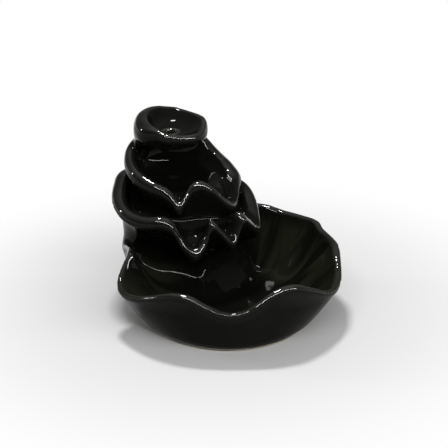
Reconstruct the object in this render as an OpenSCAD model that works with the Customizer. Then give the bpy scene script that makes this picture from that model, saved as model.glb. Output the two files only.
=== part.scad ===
// Backflow incense burner: one cast, glazed piece.
// A cup with a smoke hole stands over a grotto, two pouring lips step down
// the front of the hill, and a folded dish takes the smoke at the bottom.
// Millimetres, +Z up, origin on the table under the middle of the whole
// outline, front towards -Y.

/* [Overall size] */
// Width of the burner, left to right
width = 110; // [100:1:126]
// Depth of the burner, front to back
depth = 102; // [92:1:116]
// Height of the burner, from the table to the top of the cup
height = 92; // [84:1:106]

/* [Cup and smoke hole] */
// Diameter of the smoke hole in the cup floor
hole_d = 5; // [4:0.25:6]
// Diameter of the flat seat for the cone in the cup
seat_d = 15; // [13:0.5:17]
// Thickness of the cup floor round the smoke hole
cup_floor_t = 5.5; // [5:0.25:7]

/* [Rolled lips] */
// Radius of the rounding on the dish rim and the pouring lips
lip_r = 2.3; // [2:0.1:2.6]
// Radius of the rounding on the rim of the cup
cup_lip_r = 1.8; // [1.6:0.1:2]

/* [Dish and foot] */
// Diameter of the foot ring at the front
foot_d = 76; // [72:1:79]
// Width of the flat ring that stands on the table
foot_land = 6; // [5:0.5:8]
// Depth of the recess inside the foot ring
foot_recess = 2; // [1.5:0.25:2.5]
// Thickness of the dish wall
wall_t = 4.4; // [4:0.2:5]
// Height of the folds inside the dish wall
fold_h = 2.2; // [0:0.2:2.6]

/* [Hidden] */

// Stretch from the sizes that the tables below come out at
stretch = [width / 110.11, depth / 101.66, height / 92];

// Step from the middle of the foot to the middle of the whole outline
outline_c = [-1.19, -0.47];

// Steps round each closed curve of the hill, the dish and the cup
hill_n = 108;
dish_n = 84;
cup_n = 48;

// Middles that the curves go round
hill_c = [-22, 24];
dish_c = [0, 0];
cup_c = [-28, 27];
hollow_c = [-21, 26];

// Cast hollow: radius, height of its upright side and of its top
hollow_r = 13;
hollow_side = 6;
hollow_top = 32.5;

foot_r = foot_d / 2;
seat_z = 84;
cup_under_z = seat_z - cup_floor_t;
dish_floor_r = 27;
dish_floor_z = 10.5;
pool_1_z = 61.5;

// Crest of a lip: angle about the middle, radius, height
dish_rim = [
    [3, 51.2, 31.5], [12, 51.8, 33.2], [24, 51.4, 33.5], [31, 51.4, 34.2],
    [36, 52.4, 35.6], [46, 50.4, 36], [58, 48.8, 36.5], [68, 48, 38],
    [90, 48, 37.5], [115, 50, 36], [134, 53.6, 35], [150, 54.8, 33.5],
    [166, 50.8, 32.5], [180, 46.6, 36], [187.5, 46.8, 36.4], [191.5, 49.8, 32.8],
    [195.5, 52.6, 28.8], [201, 54.2, 26], [208, 54, 25], [216, 53.4, 26.5],
    [226, 52.4, 29.5], [238, 50.8, 33.5], [248, 49.4, 33.4], [258, 49, 29.5],
    [268, 49, 26.4], [277, 49, 27], [285, 49.2, 30.5], [294, 49.2, 35],
    [306, 50, 36.4], [319, 50.8, 31.5], [331, 51.6, 26], [342, 52.2, 24.2],
    [352, 52, 27]
];

upper_lip = [
    [0, 22, 64.5], [23, 20.8, 67], [48, 20.8, 70], [70, 20.4, 78], [95, 19.8, 81.5],
    [130, 22.4, 81.5], [160, 25.2, 76.8], [178, 25.2, 74.5], [196, 25, 72.5],
    [211, 25.2, 71.5], [231, 24.5, 69], [249, 23.6, 66.5], [258, 23.4, 63.4],
    [266.6, 25.2, 60], [275, 22, 64.2], [283, 20.6, 67.8], [294, 21.3, 68.5],
    [309, 22.4, 64.6], [321, 23.8, 59], [334, 25, 54.5], [344, 24.6, 54.6],
    [351, 23.8, 58.8]
];

lower_lip = [
    [346.8, 33.2, 41.5], [355, 32, 46], [9, 30.4, 51.8], [24, 29, 55],
    [60, 25.2, 56], [95, 23.4, 56], [130, 25.4, 60], [169, 27.8, 63],
    [183.5, 28.4, 62], [199, 30.8, 60], [209, 33, 58], [220.5, 34.8, 56],
    [231, 35, 55], [242, 34.4, 55], [254, 32.8, 55.5], [262, 31.8, 53.2],
    [268, 31, 46.6], [274.5, 31.8, 41.4], [280, 33.6, 39.8], [286.5, 31.8, 42.2],
    [291, 30.5, 46.2], [295, 29.8, 52.2], [302, 30.1, 49], [313.7, 32, 41.2],
    [319.5, 31.6, 45.4], [325.5, 31.4, 51.6], [336, 32, 47]
];

cup_rim = [
    [11, 15.8, 90.2], [52, 15.2, 89.5], [86, 15.9, 90.4], [118, 15.6, 91.4],
    [146, 14, 91.8], [169, 12.6, 91.99], [200, 12.2, 91.5], [225, 12.8, 91.2],
    [242, 13.6, 90.8], [263, 15, 89.4], [283, 15.4, 88.6], [305, 16, 88],
    [327, 16.4, 87.6], [349, 15.9, 88.9]
];

// Flank of the hill below the lower lip, and its root in the dish
waist = [
    [0, 28, 32], [11, 33, 35], [24, 30.6, 38], [42, 26.4, 39], [62, 23.6, 39],
    [95, 22.6, 39], [130, 24, 41], [165, 29.8, 44], [185, 29.6, 43], [215, 28, 41],
    [240, 23.6, 37], [262, 18.4, 33], [280, 16.4, 28], [296, 22, 28],
    [315, 20.4, 29], [340, 21.6, 30]
];

root = [
    [0, 24, 23.5], [11, 31, 23], [24, 30, 25], [42, 26, 28], [90, 21.6, 30],
    [132, 20, 30], [165, 27.2, 29], [180, 28.6, 31], [198, 28.2, 32],
    [220, 25.4, 31], [239, 18.6, 27.5], [258, 15.4, 25], [281, 15.8, 24],
    [297, 19, 23.5], [322, 17.4, 23.5], [345, 18.4, 23.5]
];

// Floor of the lower pool, and the wall of the upper tier above it
pool_2 = [
    [0, 28.6, 44], [20, 25.8, 48], [50, 23.4, 54], [95, 22.6, 55], [135, 23.4, 59],
    [165, 24.4, 56.5], [200, 26.6, 49], [230, 27.2, 46], [255, 25.4, 45],
    [275, 24.4, 44], [300, 24.2, 43.5], [325, 25.8, 43]
];

tier_1_wall = [
    [0, 26, 47], [22, 24.6, 51], [50, 22.6, 56], [95, 22.2, 58], [135, 22.2, 62],
    [165, 22, 58.5], [200, 21.6, 53], [230, 21.4, 50.5], [255, 19.8, 49.5],
    [275, 19, 49], [300, 19, 48], [325, 21.4, 47]
];

// Angles, widths and strengths of the folds inside the dish wall
dish_folds = [[14, 8, 1.4], [39, 7, 1.2], [64, 10, 0.7], [196, 9, 0.8], [294, 12, 0.6]];

// Angle brought into one turn, and the smaller angle between two directions
function turn(a) = a - 360 * floor(a / 360);
function apart(a, b) = min(turn(a - b), turn(b - a));

// Smooth step from 0 to 1 while x goes from lo to hi
function ease(lo, hi, x) =
    let(u = max(0, min(1, (x - lo) / (hi - lo))))
    u * u * (3 - 2 * u);

// Part of a table that angle a falls in, counted from its first row
function span_at(t, a, i = 0) =
    i >= len(t) - 1 || turn(a - t[i][0]) < turn(t[i + 1][0] - t[i][0])
        ? i
        : span_at(t, a, i + 1);

function row(t, i) = t[(i + len(t)) % len(t)];

// Change of radius and height per degree through row i
function slope(t, i) =
    let(p = row(t, i - 1), q = row(t, i + 1))
    [q[1] - p[1], q[2] - p[2]] / turn(q[0] - p[0]);

// Radius and height of a smooth closed curve through a table, at angle a
function curve(t, a) =
    let(
        i = span_at(t, a),
        p = row(t, i),
        q = row(t, i + 1),
        w = turn(q[0] - p[0]),
        u = turn(a - p[0]) / w
    )
    (2 * u * u * u - 3 * u * u + 1) * [p[1], p[2]]
        + (u * u * u - 2 * u * u + u) * w * slope(t, i)
        + (3 * u * u - 2 * u * u * u) * [q[1], q[2]]
        + (u * u * u - u * u) * w * slope(t, i + 1);

function samples(t, n) = [for (k = [0 : n - 1]) curve(t, 360 * k / n)];
function level(r, z, n) = [for (k = [0 : n - 1]) [r, z]];
function blend(s, t, u) = s * (1 - u) + t * u;

// Share of the lips at each step: whole in front, none on the plain back
function share(k, n) = 1 - ease(100, 145, apart(360 * k / n, 270));

// Ring moved out and up by fixed amounts; on the back only by "up"
function shift(s, out, rise, up) =
    let(n = len(s))
    [for (k = [0 : n - 1]) let(f = share(k, n))
        [s[k][0] + out * f, s[k][1] + rise * f + up * (1 - f)]];

// Ring moved out and up by shares of an amount that varies round it
function wider(s, amount, out, rise) =
    [for (k = [0 : len(s) - 1]) [s[k][0] + amount[k] * out, s[k][1] + amount[k] * rise]];

function move(s, out, rise) = [for (v = s) [v[0] + out, v[1] + rise]];

// Slope from the inside of a lip to the floor of its pool
function pour(s, t, u, p) =
    [for (k = [0 : len(s) - 1])
        [
            s[k][0] + (t[k][0] - s[k][0]) * u,
            t[k][1] + (s[k][1] - t[k][1]) * pow(1 - u, p)
        ]];

// Point at radius r and height z from a middle, in the frame of the part
function spot(c, r, a, z) =
    let(p = c - outline_c + r * [cos(a), sin(a)])
    [p[0] * stretch[0], p[1] * stretch[1], z * stretch[2]];

// Points in space of rings given as radius and height about a middle
function place(rings, c) =
    [for (s = rings) [for (k = [0 : len(s) - 1])
        spot(c, s[k][0], 360 * k / len(s), s[k][1])]];

function sum(v, i = 0) = i == len(v) - 1 ? v[i] : v[i] + sum(v, i + 1);

// Closed skin through rings, from the first cap up the outside to the last
module skin(rings) {
    n = len(rings[0]);
    m = len(rings);
    first = sum(rings[0]) / n;
    last = sum(rings[m - 1]) / n;
    sides = [for (j = [0 : m - 2], k = [0 : n - 1]) let(
        a = j * n + k,
        b = j * n + (k + 1) % n
    ) each [[a, a + n, b + n], [a, b + n, b]]];
    caps = [for (k = [0 : n - 1]) let(b = (k + 1) % n)
        each [[k, b, m * n], [(m - 1) * n + b, (m - 1) * n + k, m * n + 1]]];
    polyhedron(
        points = concat([for (r = rings) each r], [first, last]),
        faces = concat(sides, caps)
    );
}

function fold(a) =
    sum([for (f = dish_folds) f[2] * (1 - ease(0, f[1], apart(a, f[0])))]);

module dish() {
    rim = samples(dish_rim, dish_n);
    // The foot reaches further out below the hill, at the back left
    foot = [for (k = [0 : dish_n - 1])
        [foot_r + 10.5 * (1 - ease(0, 75, apart(360 * k / dish_n, 142))), 0]];
    outer_s = [0.12, 0.3, 0.5, 0.7, 0.88];
    outer = [for (s = outer_s) [for (k = [0 : dish_n - 1])
        [
            foot[k][0] + (rim[k][0] + lip_r - 0.4 - foot[k][0]) * pow(s, 0.85),
            (rim[k][1] - lip_r) * s
        ]]];
    inner_s = [0.85, 0.62, 0.4, 0.2, 0.07];
    inner = [for (s = inner_s) [for (k = [0 : dish_n - 1])
        let(
            a = 360 * k / dish_n,
            r = rim[k][0] - wall_t / 2,
            z = rim[k][1] - lip_r,
            f = fold_h * fold(a) * sin(180 * min(1, s + 0.12))
        )
        [
            dish_floor_r + (r - dish_floor_r) * pow(s, 0.62) - f,
            dish_floor_z + (z - dish_floor_z) * pow(s, 1.25) + 0.3 * f
        ]]];
    skin(place(concat(
        [
            level(foot_r - foot_land - 0.6, foot_recess, dish_n),
            move(foot, -foot_land, 0),
            move(foot, -1.2, 0),
            move(foot, 0, 1)
        ],
        outer,
        [
            move(rim, lip_r, -lip_r),
            move(rim, lip_r * 0.7, -lip_r * 0.3),
            rim,
            move(rim, -lip_r * 0.7, -lip_r * 0.3),
            move(rim, -lip_r, -lip_r)
        ],
        inner,
        [level(dish_floor_r - 3, dish_floor_z, dish_n)]
    ), dish_c));
}

module hill() {
    low = samples(root, hill_n);
    flank = samples(waist, hill_n);
    lip_2 = samples(lower_lip, hill_n);
    floor_2 = samples(pool_2, hill_n);
    wall_1 = samples(tier_1_wall, hill_n);
    lip_1 = samples(upper_lip, hill_n);
    // Spread of the root over the dish floor, towards the front only
    spread = [for (k = [0 : hill_n - 1])
        1 - ease(55, 105, apart(360 * k / hill_n, 295))];
    foot = [for (k = [0 : hill_n - 1]) let(f = spread[k])
        [low[k][0] - 9 + 26 * f, 8]];
    apron = [for (k = [0 : hill_n - 1]) let(f = spread[k])
        [low[k][0] - 6 + 18 * f, low[k][1] - 15 + 2.6 * f]];
    toe = [for (k = [0 : hill_n - 1]) let(f = spread[k])
        [low[k][0] - 5 + 12.4 * f, low[k][1] - 12 + 2.2 * f]];
    ankle = [for (k = [0 : hill_n - 1]) let(f = spread[k])
        [low[k][0] - 3 + 6.6 * f, low[k][1] - 8.6 + 1.4 * f]];
    shin = [for (k = [0 : hill_n - 1]) let(f = spread[k])
        [low[k][0] - 1 + 2.4 * f, low[k][1] - 4.4 + 0.3 * f]];
    // Broad shoulders outside the crests of both lips, left and right
    out_1 = [for (k = [0 : hill_n - 1]) let(a = 360 * k / hill_n)
        0.5 + 5.5 * (1 - ease(20, 50, apart(a, 32)))
            + 0.8 * (1 - ease(30, 70, apart(a, 185)))];
    out_2 = [for (k = [0 : hill_n - 1]) let(a = 360 * k / hill_n)
        1.6 + 1.9 * (1 - ease(20, 55, apart(a, 5)))
            + 2.1 * (1 - ease(20, 50, apart(a, 172)))];
    in_2 = shift(lip_2, -lip_r, -lip_r * 0.7, 1.2);
    in_1 = move(lip_1, -lip_r, -lip_r * 0.8);
    floor_1 = [for (k = [0 : hill_n - 1]) let(f = share(k, hill_n))
        [lip_1[k][0] - 8 + f, pool_1_z]];
    skin(place([
        foot,
        apron,
        toe,
        ankle,
        shin,
        low,
        flank,
        wider(shift(lip_2, -2.4, -8, -6), out_2, 1, -0.3),
        wider(shift(lip_2, lip_r - 0.4, -lip_r * 2, -3), out_2, 0.95, -0.3),
        wider(shift(lip_2, lip_r, -lip_r, -1.5), out_2, 0.7, -0.2),
        wider(shift(lip_2, lip_r * 0.7, -lip_r * 0.3, -0.7), out_2, 0.35, -0.05),
        lip_2,
        shift(lip_2, -lip_r * 0.7, -lip_r * 0.2, 0.6),
        in_2,
        pour(in_2, floor_2, 0.3, 2.2),
        pour(in_2, floor_2, 0.65, 2.2),
        floor_2,
        blend(floor_2, wall_1, 0.6),
        wall_1,
        blend(wall_1, wider(shift(lip_1, -0.6, -7, -8), out_1, 1.25, -0.4), 0.55),
        wider(shift(lip_1, lip_r - 0.5, -lip_r * 2.2, -5), out_1, 0.9, -0.35),
        wider(move(lip_1, lip_r, -lip_r), out_1, 0.55, -0.2),
        wider(move(lip_1, lip_r * 0.7, -lip_r * 0.3), out_1, 0.12, -0.06),
        lip_1,
        move(lip_1, -lip_r * 0.7, -lip_r * 0.25),
        in_1,
        pour(in_1, floor_1, 0.25, 2.4),
        pour(in_1, floor_1, 0.6, 2.4),
        floor_1
    ], hill_c));
}

module cup() {
    rim = samples(cup_rim, cup_n);
    // The wall is low in front, and leans out at the left
    front = [for (k = [0 : cup_n - 1]) 1 - ease(30, 75, apart(360 * k / cup_n, 285))];
    left = [for (k = [0 : cup_n - 1])
        3.2 * (1 - ease(35, 80, apart(360 * k / cup_n, 172)))];
    belly = [for (k = [0 : cup_n - 1])
        [
            rim[k][0] + cup_lip_r + 0.3 * (1 - front[k]) + left[k],
            rim[k][1] - 6 + 3 * front[k]
        ]];
    // The back and left of the underside reach down into the wall of the hill
    hold = [for (k = [0 : cup_n - 1]) ease(80, 130, apart(360 * k / cup_n, 290))];
    neck = [for (b = hold) [10.5, cup_under_z - 3 * b]];
    under = [for (k = [0 : cup_n - 1])
        [
            belly[k][0] - 4 + 2 * hold[k] + front[k],
            cup_under_z + 1.2 - 7 * hold[k] + 2.6 * front[k]
        ]];
    side = [for (k = [0 : cup_n - 1])
        [
            belly[k][0] - 1 + 0.6 * hold[k],
            under[k][1] + 0.42 * (belly[k][1] - under[k][1])
        ]];
    seat_r = seat_d / 2;
    in_rim = move(rim, -cup_lip_r, -cup_lip_r);
    seat = level(seat_r, seat_z, cup_n);
    skin(place([
        level(seat_r - 1, cup_under_z, cup_n),
        neck,
        under,
        side,
        belly,
        wider(move(rim, cup_lip_r, -cup_lip_r), left, 0.85, -0.25),
        wider(move(rim, cup_lip_r * 0.7, -cup_lip_r * 0.3), left, 0.55, -0.12),
        rim,
        move(rim, -cup_lip_r * 0.7, -cup_lip_r * 0.3),
        in_rim,
        pour(in_rim, seat, 0.3, 1.6),
        pour(in_rim, seat, 0.62, 1.6),
        seat
    ], cup_c));
}

// Hollow that the casting leaves inside the hill, open below
module cast_hollow() {
    translate(spot(hollow_c, 0, 0, 0))
        rotate_extrude($fn = 40)
            polygon(concat(
                [[0, -1], [hollow_r, -1]],
                [for (u = [0 : 1 / 6 : 1.01])
                    [
                        hollow_r * sqrt(max(0, 1 - pow(u, 2.4))),
                        hollow_side + (hollow_top - hollow_side) * min(1, u)
                    ]]
            ));
}

module burner() {
    color("#1b1c1a")
        difference() {
            union() {
                dish();
                hill();
                cup();
            }
            cast_hollow();
            translate(spot(cup_c, 0, 0, cup_under_z - lip_r))
                cylinder(d = hole_d, h = cup_floor_t + 8 * lip_r, $fn = 48);
        }
}

burner();
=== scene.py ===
"""Backflow incense burner in black glaze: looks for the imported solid.

The body is lofted again from the same curves as the solid, in fine steps,
joined into one skin, and given the soft inner corners that pooled glaze
leaves. All lengths in the tables are millimetres; Blender gets metres.
"""
import math

import bpy
import numpy as np
from mathutils import Matrix, Vector


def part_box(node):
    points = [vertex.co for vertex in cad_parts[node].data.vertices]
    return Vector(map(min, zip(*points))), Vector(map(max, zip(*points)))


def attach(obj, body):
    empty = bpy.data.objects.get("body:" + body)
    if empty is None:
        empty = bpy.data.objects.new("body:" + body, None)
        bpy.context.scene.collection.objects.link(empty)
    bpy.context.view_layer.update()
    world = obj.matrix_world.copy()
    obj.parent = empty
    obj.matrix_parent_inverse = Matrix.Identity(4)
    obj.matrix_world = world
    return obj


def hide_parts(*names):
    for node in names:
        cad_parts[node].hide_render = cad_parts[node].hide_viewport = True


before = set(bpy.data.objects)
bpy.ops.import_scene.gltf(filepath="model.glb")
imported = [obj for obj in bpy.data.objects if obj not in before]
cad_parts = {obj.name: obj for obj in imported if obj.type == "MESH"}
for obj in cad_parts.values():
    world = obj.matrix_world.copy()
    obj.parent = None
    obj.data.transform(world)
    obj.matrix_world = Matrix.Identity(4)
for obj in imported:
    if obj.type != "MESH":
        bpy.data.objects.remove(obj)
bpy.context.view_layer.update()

bl_info = {
    "name": "Backflow incense burner",
    "version": (1, 0, 0),
    "blender": (4, 5, 0),
    "location": "View3D > Sidebar > Burner",
    "description": "Builds a glazed backflow incense burner and its studio",
    "category": "Object",
}

MM = 0.001

# Crest of each lip: angle about the middle, radius, height
DISH_RIM = [
    (3, 51.2, 31.5), (12, 51.8, 33.2), (24, 51.4, 33.5), (31, 51.4, 34.2),
    (36, 52.4, 35.6), (46, 50.4, 36), (58, 48.8, 36.5), (68, 48, 38),
    (90, 48, 37.5), (115, 50, 36), (134, 53.6, 35), (150, 54.8, 33.5),
    (166, 50.8, 32.5), (180, 46.6, 36), (187.5, 46.8, 36.4), (191.5, 49.8, 32.8),
    (195.5, 52.6, 28.8), (201, 54.2, 26), (208, 54, 25), (216, 53.4, 26.5),
    (226, 52.4, 29.5), (238, 50.8, 33.5), (248, 49.4, 33.4), (258, 49, 29.5),
    (268, 49, 26.4), (277, 49, 27), (285, 49.2, 30.5), (294, 49.2, 35),
    (306, 50, 36.4), (319, 50.8, 31.5), (331, 51.6, 26), (342, 52.2, 24.2),
    (352, 52, 27),
]
UPPER_LIP = [
    (0, 22, 64.5), (23, 20.8, 67), (48, 20.8, 70), (70, 20.4, 78), (95, 19.8, 81.5),
    (130, 22.4, 81.5), (160, 25.2, 76.8), (178, 25.2, 74.5), (196, 25, 72.5),
    (211, 25.2, 71.5), (231, 24.5, 69), (249, 23.6, 66.5), (258, 23.4, 63.4),
    (266.6, 25.2, 60), (275, 22, 64.2), (283, 20.6, 67.8), (294, 21.3, 68.5),
    (309, 22.4, 64.6), (321, 23.8, 59), (334, 25, 54.5), (344, 24.6, 54.6),
    (351, 23.8, 58.8),
]
LOWER_LIP = [
    (346.8, 33.2, 41.5), (355, 32, 46), (9, 30.4, 51.8), (24, 29, 55), (60, 25.2, 56),
    (95, 23.4, 56), (130, 25.4, 60), (169, 27.8, 63), (183.5, 28.4, 62),
    (199, 30.8, 60), (209, 33, 58), (220.5, 34.8, 56), (231, 35, 55), (242, 34.4, 55),
    (254, 32.8, 55.5), (262, 31.8, 53.2), (268, 31, 46.6), (274.5, 31.8, 41.4),
    (280, 33.6, 39.8), (286.5, 31.8, 42.2), (291, 30.5, 46.2), (295, 29.8, 52.2),
    (302, 30.1, 49), (313.7, 32, 41.2), (319.5, 31.6, 45.4), (325.5, 31.4, 51.6),
    (336, 32, 47),
]
CUP_RIM = [
    (11, 15.8, 90.2), (52, 15.2, 89.5), (86, 15.9, 90.4), (118, 15.6, 91.4),
    (146, 14, 91.8), (169, 12.6, 91.99), (200, 12.2, 91.5), (225, 12.8, 91.2),
    (242, 13.6, 90.8), (263, 15, 89.4), (283, 15.4, 88.6), (305, 16, 88),
    (327, 16.4, 87.6), (349, 15.9, 88.9),
]

# Flank of the hill, its root in the dish, the lower pool and the wall over it
WAIST = [
    (0, 28, 32), (11, 33, 35), (24, 30.6, 38), (42, 26.4, 39),
    (62, 23.6, 39), (95, 22.6, 39), (130, 24, 41), (165, 29.8, 44),
    (185, 29.6, 43), (215, 28, 41), (240, 23.6, 37), (262, 18.4, 33),
    (280, 16.4, 28), (296, 22, 28), (315, 20.4, 29), (340, 21.6, 30),
]
ROOT = [
    (0, 24, 23.5), (11, 31, 23), (24, 30, 25), (42, 26, 28), (90, 21.6, 30),
    (132, 20, 30), (165, 27.2, 29), (180, 28.6, 31), (198, 28.2, 32), (220, 25.4, 31),
    (239, 18.6, 27.5), (258, 15.4, 25), (281, 15.8, 24), (297, 19, 23.5),
    (322, 17.4, 23.5), (345, 18.4, 23.5),
]
POOL_2 = [
    (0, 28.6, 44), (20, 25.8, 48), (50, 23.4, 54), (95, 22.6, 55), (135, 23.4, 59),
    (165, 24.4, 56.5), (200, 26.6, 49), (230, 27.2, 46), (255, 25.4, 45),
    (275, 24.4, 44), (300, 24.2, 43.5), (325, 25.8, 43),
]
TIER_1_WALL = [
    (0, 26, 47), (22, 24.6, 51), (50, 22.6, 56), (95, 22.2, 58), (135, 22.2, 62),
    (165, 22, 58.5), (200, 21.6, 53), (230, 21.4, 50.5), (255, 19.8, 49.5),
    (275, 19, 49), (300, 19, 48), (325, 21.4, 47),
]
# Folds inside the dish wall: direction, half width in degrees, strength
DISH_FOLDS = [(14, 8, 1.4), (39, 7, 1.2), (64, 10, 0.7), (196, 9, 0.8), (294, 12, 0.6)]

# From the tables' own width and depth to those of the solid
STRETCH = np.array([110 / 110.11, 102 / 101.66, 1.0])
# Step from the middle of the foot to the middle of the whole outline
OUTLINE_C = (-1.19, -0.47)

# Middles that the curves go round
HILL_C = (-22, 24)
DISH_C = (0, 0)
CUP_C = (-28, 27)
HOLLOW_C = (-21, 26)
# Direction of the front, in degrees
FRONT = 270

# Roundings of the lips and the dish rim, and of the cup's rim
LIP_R = 2.3
CUP_LIP_R = 1.8
# Point half way round a rolled lip, as shares of its radius
ROLL_OUT = 0.7
ROLL_DOWN = 0.3

# Foot ring, its recess, and how it reaches further out below the hill: direction, half
# width in degrees and reach
FOOT_R = 38.0
FOOT_LAND = 6.0
FOOT_RECESS = 2.0
FOOT_REACH = (142, 75, 10.5)
# Slope at the edge of the recess, and rounding of the foot's outer edge, inwards and up
RECESS_SLOPE = 0.6
FOOT_ROUND_IN = 1.2
FOOT_ROUND_UP = 1

# Dish: its wall, and how far the outside stays within the rounding of the rim
WALL_T = 4.4
WALL_TUCK = 0.4
# Depth of the folds, where they begin as a share of the wall, and the share that rises
FOLD_H = 2.2
FOLD_START = 0.12
FOLD_RISE = 0.3
# Floor of the dish, and how far its flat ends inside the wall
DISH_FLOOR_R = 27.0
DISH_FLOOR_Z = 10.5
FLAT_WITHIN = 3
# Heights of the rings as shares of the way from the foot to the rim outside, and of the way
# from the floor to the rim inside
DISH_OUTSIDE = (0.12, 0.3, 0.5, 0.7, 0.88)
DISH_INSIDE = (0.85, 0.62, 0.4, 0.2, 0.07)
# Powers that bow the wall outside and inside
BOW_OUTSIDE = 0.85
BOW_INSIDE_R = 0.62
BOW_INSIDE_Z = 1.25

# Rings from under the dish floor up to the root of the hill: step out, spread in front,
# step up and rise in front
ROOT_SPREAD = (
    (-6, 18, -15, 2.6), (-5, 12.4, -12, 2.2), (-3, 6.6, -8.6, 1.4), (-1, 2.4, -4.4, 0.3),
)
# Outside of the lower lip, from the flank up to the crest: step out, rise in front, rise at
# the back, and the shares of the shoulder that go out and up
LOWER_ROLL = (
    (-2.4, -8, -6, 1, -0.3),
    (LIP_R - 0.4, -LIP_R * 2, -3, 0.95, -0.3),
    (LIP_R, -LIP_R, -1.5, 0.7, -0.2),
    (LIP_R * ROLL_OUT, -LIP_R * ROLL_DOWN, -0.7, 0.35, -0.05),
)
# Steepness of the slopes into the lower pool, the upper pool and the cup
POUR_2 = 2.2
POUR_1 = 2.4
POUR_CUP = 1.6
# Floor of the upper pool
POOL_1_Z = 61.5

# Cup: seat for the cone, underside and smoke hole
SEAT_Z = 84.0
SEAT_R = 7.5
CUP_UNDER_Z = SEAT_Z - 5.5
HOLE_R = 2.5

# Cast hollow: radius, height of its upright side and of its top, bow of its dome
HOLLOW_R = 13.0
HOLLOW_SIDE = 6.0
HOLLOW_TOP = 32.5
HOLLOW_BOW = 2.4
DOME_RINGS = 19

# Steps round the two cuts, and how far they reach past the skin: under the foot, under the
# cup and over the seat
HOLLOW_STEPS = 96
HOLE_STEPS = 64
PAST_FOOT = 1
PAST_CUP = 4
PAST_SEAT = 12

# Smaller rings between two rings of a skin
FINE_STEPS = 4
# A smoothing step, and the swelling step after it that keeps the size
EVEN_PAIR = (0.5, -0.53)
# Pooling leaves the smoke hole alone up to these distances, between these heights
FREE_FROM_HOLE = (2.6, 5.5)
HOLE_MIDDLE_Z = 81
HOLE_HALF_Z = 6
# It leaves the foot alone up to these heights, and the hollow within a radius and a height
FREE_FROM_FOOT = (1.0, 3.0)
FREE_FROM_HOLLOW_R = 14.5
FREE_FROM_HOLLOW_Z = 36
# Share of a corner's depth filled in one round, and what an outer corner gives up of it
POOL_STEP = 0.75
OUTER_SHARE = 0.12
# Rounds of evening after the pooling
LAST_ROUNDS = 3
# Skin lower than this is set flat on the table
FOOT_FLAT = 0.15
# Bend of the skin that counts as a full edge, and rounds that spread it
FULL_BEND = 0.09
BEND_ROUNDS = 4


# Curves

def angles(n):
    """Directions of n even steps round, in degrees."""
    return np.arange(n) * 360.0 / n


def apart(a, b):
    """Smaller angle between two directions."""
    d = np.abs((a - b) % 360.0)
    return np.minimum(d, 360.0 - d)


def ease(lo, hi, x):
    """Smooth step from 0 to 1 while x goes from lo to hi."""
    u = np.clip((np.asarray(x, float) - lo) / (hi - lo), 0.0, 1.0)
    return u * u * (3 - 2 * u)


def near(a, at, whole, none):
    """1 up to `whole` degrees from the direction `at`, then easing to 0 at `none`."""
    return 1 - ease(whole, none, apart(a, at))


def samples(table, n):
    """Radius and height of the smooth closed curve through a table."""
    out = np.empty((n, 2))
    m = len(table)

    def span(i, j):
        return (table[j % m][0] - table[i % m][0]) % 360.0

    def slope(i):
        p, q = table[(i - 1) % m], table[(i + 1) % m]
        w = span(i - 1, i + 1)
        return np.array([q[1] - p[1], q[2] - p[2]]) / w

    for k, a in enumerate(angles(n)):
        i = next(
            (j for j in range(m) if (a - table[j][0]) % 360.0 < span(j, j + 1)),
            m - 1,
        )
        p, q = table[i], table[(i + 1) % m]
        w = span(i, i + 1)
        u = ((a - p[0]) % 360.0) / w
        out[k] = (
            (2 * u**3 - 3 * u**2 + 1) * np.array(p[1:], float)
            + (u**3 - 2 * u**2 + u) * w * slope(i)
            + (3 * u**2 - 2 * u**3) * np.array(q[1:], float)
            + (u**3 - u**2) * w * slope(i + 1)
        )
    return out


def ring(r, z):
    """Radii and heights side by side; either may be a single number."""
    return np.column_stack(np.broadcast_arrays(r, z))


def level(r, z, n):
    """A flat round ring."""
    return np.tile([float(r), float(z)], (n, 1))


def share(n):
    """Share of the lips at each step: whole in front, none on the plain back."""
    return near(angles(n), FRONT, 100, 145)


def shift(s, out, rise, up):
    """The ring moved out and up by fixed amounts; on the back only by `up`."""
    f = share(len(s))
    return s + ring(out * f, rise * f + up * (1 - f))


def move(s, out, rise):
    """The ring moved out and up all round."""
    return s + np.array([out, rise])


def wider(s, amount, out, rise):
    """The ring moved out and up by shares of an amount that varies round it."""
    return s + ring(amount * out, amount * rise)


def pour(s, t, u, p):
    """Slope from the inside of a lip to the floor of its pool."""
    return ring(
        s[:, 0] + (t[:, 0] - s[:, 0]) * u,
        t[:, 1] + (s[:, 1] - t[:, 1]) * (1 - u) ** p,
    )


def place(rings, c):
    """Points in space of rings given as radius and height about a middle."""
    n = len(rings[0])
    a = np.radians(angles(n))
    out = np.empty((len(rings), n, 3))
    for j, s in enumerate(rings):
        out[j, :, 0] = c[0] - OUTLINE_C[0] + s[:, 0] * np.cos(a)
        out[j, :, 1] = c[1] - OUTLINE_C[1] + s[:, 0] * np.sin(a)
        out[j, :, 2] = s[:, 1]
    return out * STRETCH


def spot(c):
    """A middle on the table, in the frame of the part."""
    return np.array([c[0] - OUTLINE_C[0], c[1] - OUTLINE_C[1], 0.0]) * STRETCH


def reach(a, b):
    """Parameter step between two rings, from the distance of their points."""
    return np.maximum(np.linalg.norm(b - a, axis=1), 1e-4)[:, None] ** 0.5


def between(t, ta, tb, a, b):
    """From a to b in a straight line while t goes from ta to tb."""
    return (tb - t) / (tb - ta) * a + (t - ta) / (tb - ta) * b


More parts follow.
